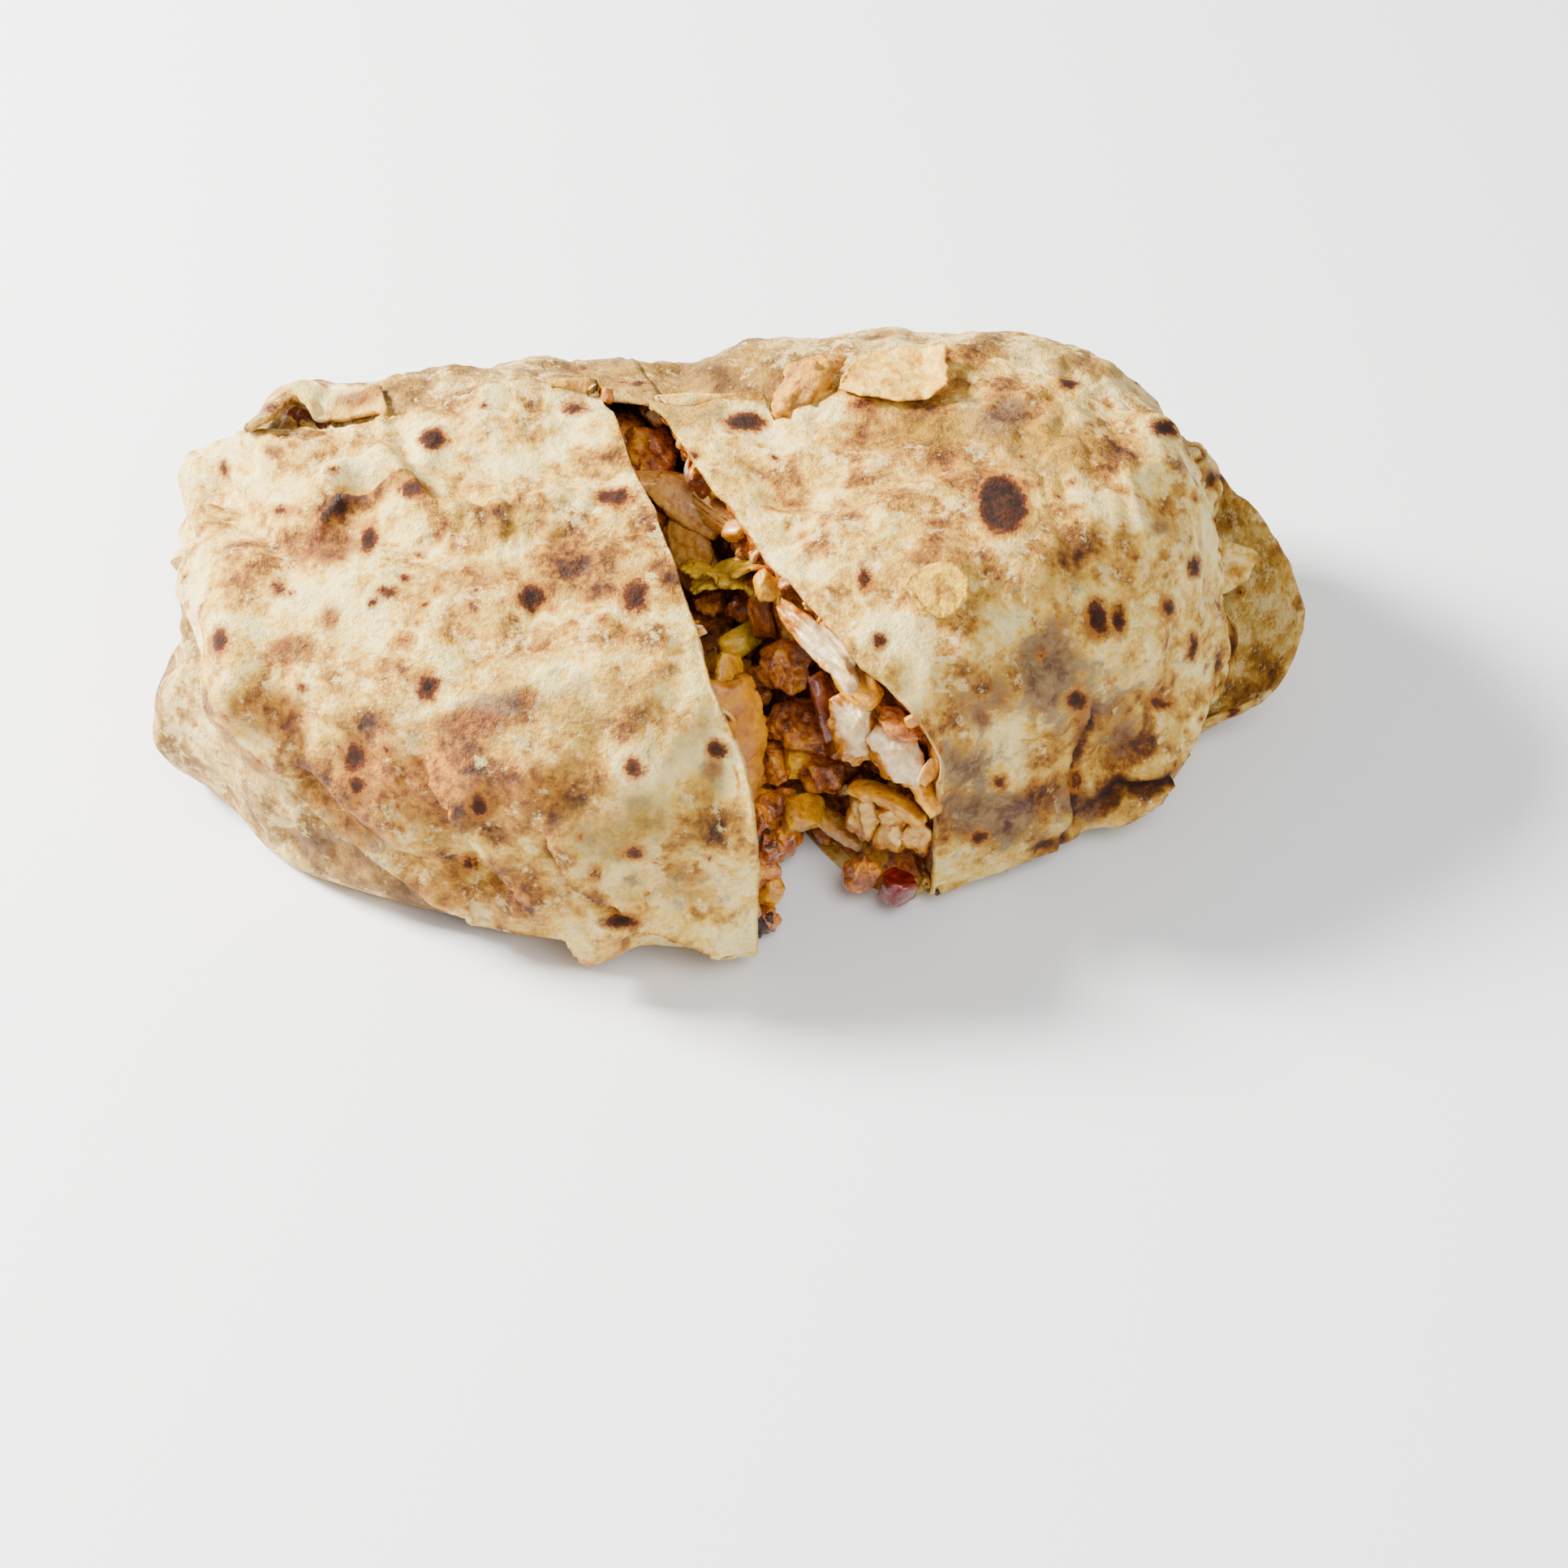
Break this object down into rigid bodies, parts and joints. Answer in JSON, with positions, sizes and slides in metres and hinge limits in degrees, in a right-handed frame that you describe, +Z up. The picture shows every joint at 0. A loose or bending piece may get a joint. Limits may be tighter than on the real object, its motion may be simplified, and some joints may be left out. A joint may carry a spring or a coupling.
{
  "type": "burrito",
  "caption": "Large filled flour-tortilla burrito with folded ends, cut nearly through and opened like a book, so its chunky filling shows in the gap.",
  "frame": {"origin": "centre of the footprint, on the surface that the burrito lies on", "axes": "+X along the burrito towards its ruffled end, +Z up, -Y the open front of the cut"},
  "size_m": [0.1916, 0.1094, 0.0628],
  "materials": {
    "tortilla": "matte",
    "filling": "satin",
    "pepper": "gloss",
    "onion": "gloss",
    "lettuce": "satin",
    "corn": "satin",
    "cheese": "satin",
    "chicken": "satin",
    "browned_chicken": "gloss",
    "tomato": "gloss",
    "char": "matte"
  },
  "bodies": {
    "root": {"tortilla": "tortilla", "filling_left": "filling", "filling_right": "filling", "filling_spill": "filling", "flake_large": "tortilla", "flake_small": "tortilla", "bite_top": "pepper", "bite_onion_upper": "onion", "bite_onion_lower": "onion", "bite_lettuce": "lettuce", "bite_corn": "corn", "bite_carrot": "pepper", "bite_cheese_cube": "corn", "bite_cheese": "cheese", "bite_chicken_high": "browned_chicken", "bite_chicken_middle": "browned_chicken", "bite_strip": "chicken", "bite_pepper_strip": "tomato", "bite_white_left": "chicken", "bite_white_right": "chicken", "bite_yellow_strip": "cheese", "bite_pale_left": "chicken", "bite_pale_right": "chicken", "bite_brown_low": "browned_chicken", "bite_tomato": "tomato", "bite_slice": "pepper", "bite_left_low": "browned_chicken", "bite_burnt": "char", "bite_back": "browned_chicken", "bite_end": "tomato"}
  },
  "joints": []
}
